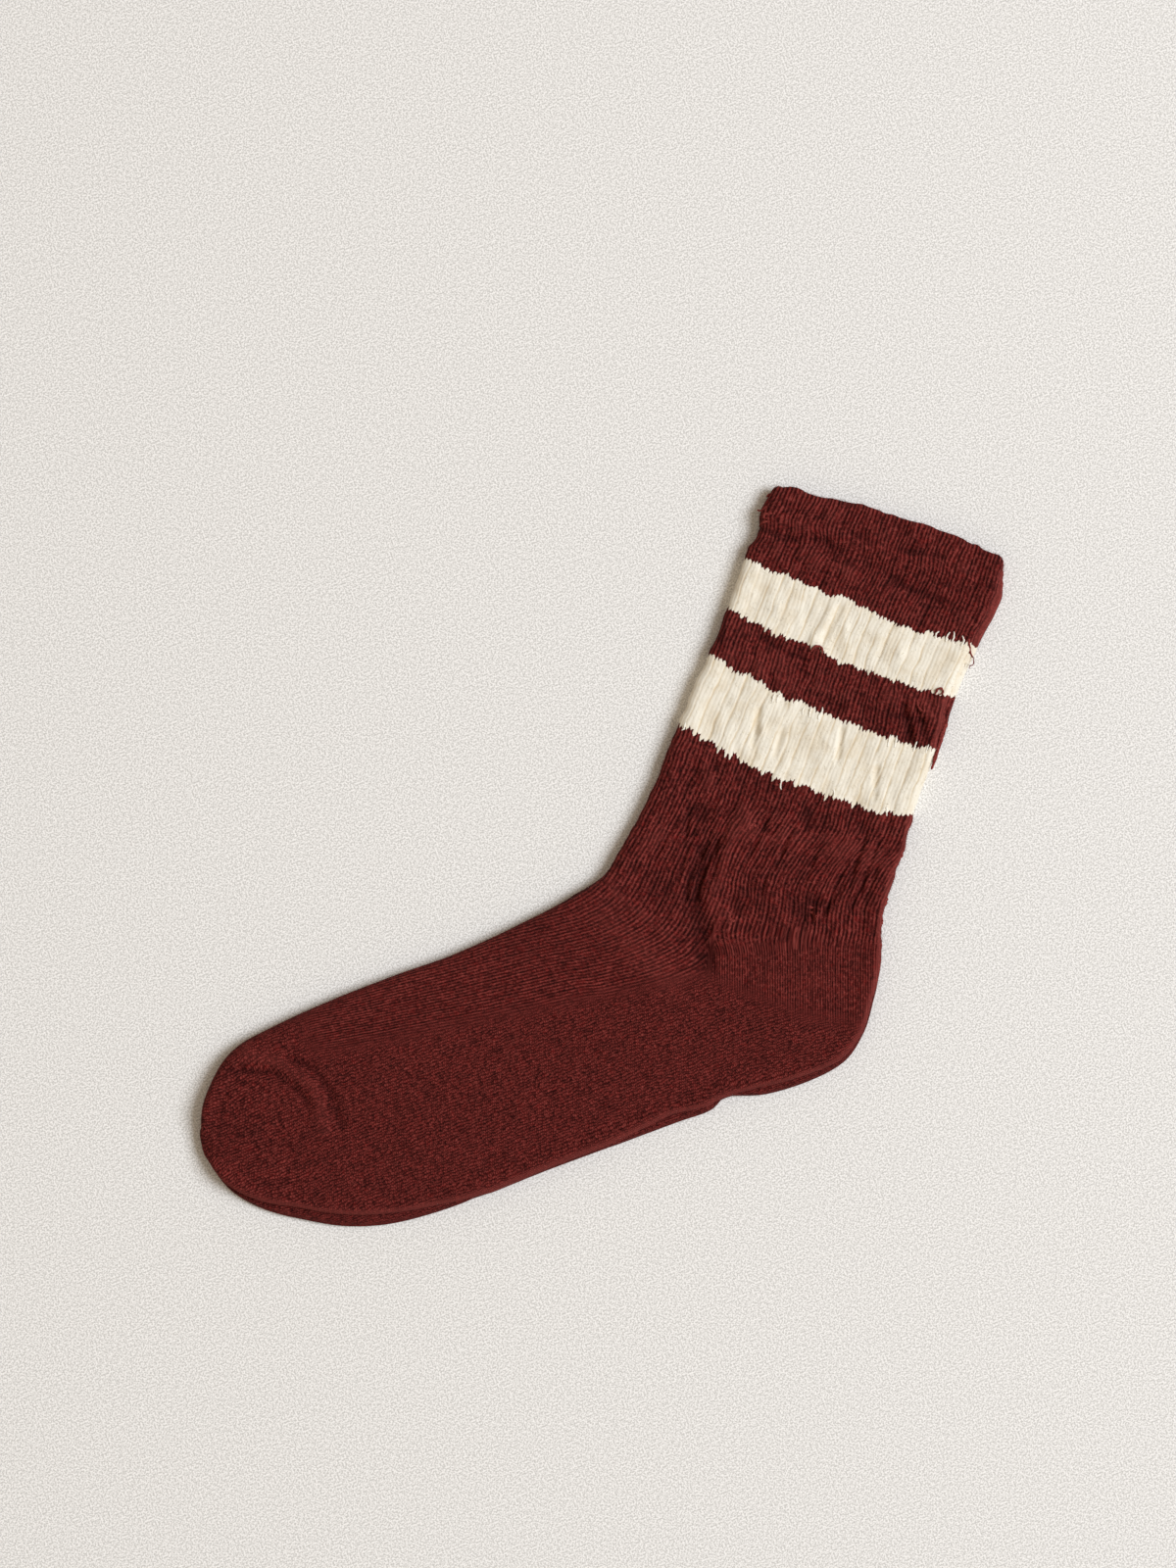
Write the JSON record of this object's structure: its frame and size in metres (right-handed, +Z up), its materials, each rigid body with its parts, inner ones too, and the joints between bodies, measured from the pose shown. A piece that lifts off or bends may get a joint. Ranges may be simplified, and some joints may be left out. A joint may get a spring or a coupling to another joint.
{
  "type": "distressed ribbed crew sock",
  "caption": "Burgundy ribbed crew sock lying flat on its side, with ragged cream stripes round a lumpy leg, snags and pulls, and a plain terry heel, sole and toe.",
  "frame": {"origin": "centre of the bounding box, on the plane that the sock lies on", "axes": "+X from the toe to the heel, along the foot; +Y across the foot towards the leg and cuff; +Z up from the surface that the sock lies on"},
  "size_m": [0.3347, 0.1966, 0.0078],
  "materials": {
    "burgundy_yarn": "matt",
    "cream_yarn": "matt"
  },
  "bodies": {
    "root": {"sock": "burgundy_yarn"}
  },
  "joints": []
}
